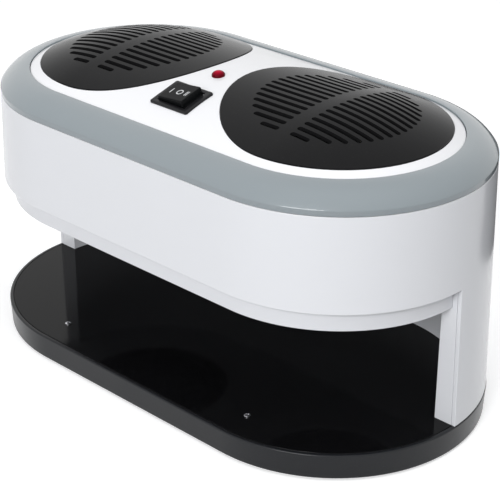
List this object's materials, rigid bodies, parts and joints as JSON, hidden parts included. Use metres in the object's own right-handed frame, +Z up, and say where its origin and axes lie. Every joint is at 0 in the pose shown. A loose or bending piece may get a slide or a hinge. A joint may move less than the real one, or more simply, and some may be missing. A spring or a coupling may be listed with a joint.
{
  "type": "nail polish fan dryer",
  "caption": "Pill-shaped nail dryer that blows warm air from fans under round top grilles onto a hand or foot set in the open-fronted space over its base.",
  "frame": {"origin": "on the table plane under the middle of the base, at the bottom of the feet", "axes": "+Z up; +X along the long side, to the right as seen from the open front; the open front faces -Y"},
  "size_m": [0.3548, 0.1948, 0.1982],
  "materials": {
    "white_plastic": "moulded ABS, satin gloss",
    "grey_plastic": "moulded ABS, fine matt",
    "gloss_black": "moulded ABS, polished",
    "black_plastic": "moulded ABS, satin",
    "fan_plastic": "glass-filled PBT",
    "rocker_plastic": "moulded nylon",
    "red_lens": "clear red polycarbonate",
    "rubber": "moulded rubber",
    "screw_steel": "nickel-plated steel",
    "duct_plastic": "heat-resistant resin",
    "heater_board": "phenolic board",
    "aluminium": "bare fins",
    "stator": "enamelled windings on laminations",
    "magnet": "bonded ferrite",
    "bronze": "sintered bronze",
    "brass": "stamped brass",
    "board_green": "glass-epoxy board",
    "board_parts": "moulded component cases",
    "nylon": "natural nylon",
    "cutout_resin": "phenolic resin",
    "wire_red": "PVC insulation",
    "wire_black": "PVC insulation",
    "wire_blue": "PVC insulation",
    "wire_white": "glass-fibre sleeve",
    "wire_brown": "PVC insulation"
  },
  "bodies": {
    "housing": {"base_tray": "black_plastic", "base_panel": "gloss_black", "rubber_feet": "rubber", "base_screws": "screw_steel", "panel_screws": "screw_steel", "outer_shell": "white_plastic", "rear_liner": "white_plastic", "roof_pan": "white_plastic", "top_ring": "grey_plastic", "crown_cover": "white_plastic", "intake_grille_left": "gloss_black", "intake_grille_right": "gloss_black", "outlet_grille_left": "black_plastic", "outlet_grille_right": "black_plastic", "air_duct_left": "duct_plastic", "air_duct_right": "duct_plastic", "heater_frame_left": "heater_board", "heater_frame_right": "heater_board", "heater_element_left": "aluminium", "heater_element_right": "aluminium", "thermal_cutout_left": "cutout_resin", "thermal_cutout_right": "cutout_resin", "fan_deck": "black_plastic", "fan_frame_left": "fan_plastic", "fan_frame_right": "fan_plastic", "fan_stator_left": "stator", "fan_stator_right": "stator", "fan_bearings_left": "bronze", "fan_bearings_right": "bronze", "switch_body": "black_plastic", "switch_contact": "brass", "switch_terminals": "brass", "indicator_lens": "red_lens", "indicator_clip": "screw_steel", "control_board": "board_green", "board_parts": "board_parts", "board_plugs": "nylon", "terminal_block": "nylon", "terminal_clamps": "brass", "cord_gland": "black_plastic", "gland_nut": "black_plastic", "switch_leads": "wire_red", "lamp_leads": "wire_black", "fan_leads": "wire_blue", "heater_leads": "wire_white", "supply_leads": "wire_brown", "housing_screws": "screw_steel", "cover_screws": "screw_steel", "deck_screws": "screw_steel", "fan_screws": "screw_steel", "board_screws": "screw_steel"},
    "rocker": {"switch_rocker": "rocker_plastic"},
    "left_fan": {"fan_rotor_left": "fan_plastic", "fan_shaft_left": "screw_steel", "fan_magnet_left": "magnet"},
    "right_fan": {"fan_rotor_right": "fan_plastic", "fan_shaft_right": "screw_steel", "fan_magnet_right": "magnet"}
  },
  "joints": [
    {"name": "rocker_tilt", "type": "hinge", "parent": "housing", "child": "rocker", "pos_m": [0, -0.04608, 0.18636], "axis": [0, 0.9617, 0.2741], "range_deg": [0, 12]},
    {"name": "left_fan_spin", "type": "hinge", "parent": "housing", "child": "left_fan", "pos_m": [-0.08, 0, 0.1512], "axis": [0, 0, 1], "continuous": true},
    {"name": "right_fan_spin", "type": "hinge", "parent": "housing", "child": "right_fan", "pos_m": [0.08, 0, 0.1512], "axis": [0, 0, 1], "continuous": true}
  ]
}
